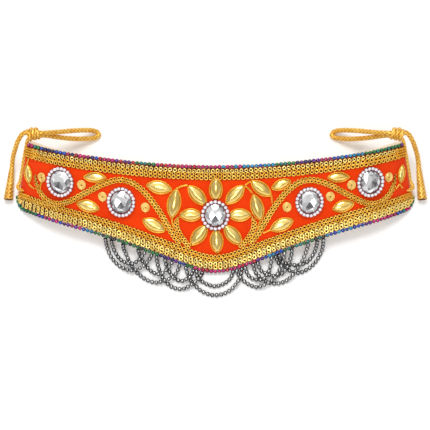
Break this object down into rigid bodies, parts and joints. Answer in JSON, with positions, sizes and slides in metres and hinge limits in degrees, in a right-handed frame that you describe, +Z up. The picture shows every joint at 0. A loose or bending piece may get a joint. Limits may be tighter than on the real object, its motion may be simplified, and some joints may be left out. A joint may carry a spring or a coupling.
{
  "type": "embroidered waist belt with tie cords",
  "caption": "Curved folk jewellery waist belt: red cloth with gold braid, padded leaves, cut stones, pearls, seed beads, ball chain swags and tie cords.",
  "frame": {"origin": "middle of the area that the belt covers, on the surface that it lies on", "axes": "+X along the belt to the right, +Y from the pointed lower edge to the tie cords, +Z up"},
  "size_m": [0.4236, 0.1737, 0.0581],
  "materials": {
    "red_cloth": "matt felted cloth",
    "cream_pad": "matt woven cotton",
    "pale_gold": "satin pale gold",
    "gold_braid": "bright gold thread",
    "leaf_gold": "polished gold",
    "crystal": "polished, foiled back",
    "pearl": "pearl gloss",
    "thread": "plain thread",
    "seed_beads": "bright metallic glass beads in many colours",
    "ball_chain": "dark polished gunmetal",
    "gold_cord": "braided satin cord"
  },
  "bodies": {
    "root": {"backing_pad": "cream_pad", "face_cloth": "red_cloth", "top_sequins": "pale_gold", "top_braid": "gold_braid", "bottom_sequins": "pale_gold", "bottom_braid": "gold_braid", "top_bead_string": "seed_beads", "bottom_bead_string": "seed_beads", "vine_left": "gold_braid", "vine_right": "gold_braid", "petal_1": "leaf_gold", "petal_2": "leaf_gold", "petal_3": "leaf_gold", "petal_4": "leaf_gold", "petal_5": "leaf_gold", "petal_6": "leaf_gold", "petal_7": "leaf_gold", "petal_8": "leaf_gold", "leaf_left_1": "leaf_gold", "leaf_left_2": "leaf_gold", "leaf_left_3": "leaf_gold", "leaf_left_4": "leaf_gold", "leaf_left_5": "leaf_gold", "leaf_left_6": "leaf_gold", "leaf_right_1": "leaf_gold", "leaf_right_2": "leaf_gold", "leaf_right_3": "leaf_gold", "leaf_right_4": "leaf_gold", "leaf_right_5": "leaf_gold", "leaf_right_6": "leaf_gold", "leaf_right_7": "leaf_gold", "crystal_1": "crystal", "crystal_2": "crystal", "crystal_3": "crystal", "crystal_4": "crystal", "crystal_5": "crystal", "pearl_ring_1": "pearl", "pearl_ring_2": "pearl", "pearl_ring_3": "pearl", "pearl_ring_4": "pearl", "pearl_ring_5": "pearl", "pearl_threads": "thread", "discs_left": "pale_gold", "discs_right": "pale_gold", "swag_1": "ball_chain", "swag_2": "ball_chain", "swag_3": "ball_chain", "swag_4": "ball_chain", "swag_5": "ball_chain", "swag_6": "ball_chain", "swag_7": "ball_chain", "edge_cord_left": "gold_cord", "edge_cord_right": "gold_cord", "loop_left": "gold_cord", "loop_right": "gold_cord", "tail_left": "gold_cord", "tail_right": "gold_cord", "end_cap_left": "gold_cord", "end_cap_right": "gold_cord"}
  },
  "joints": []
}
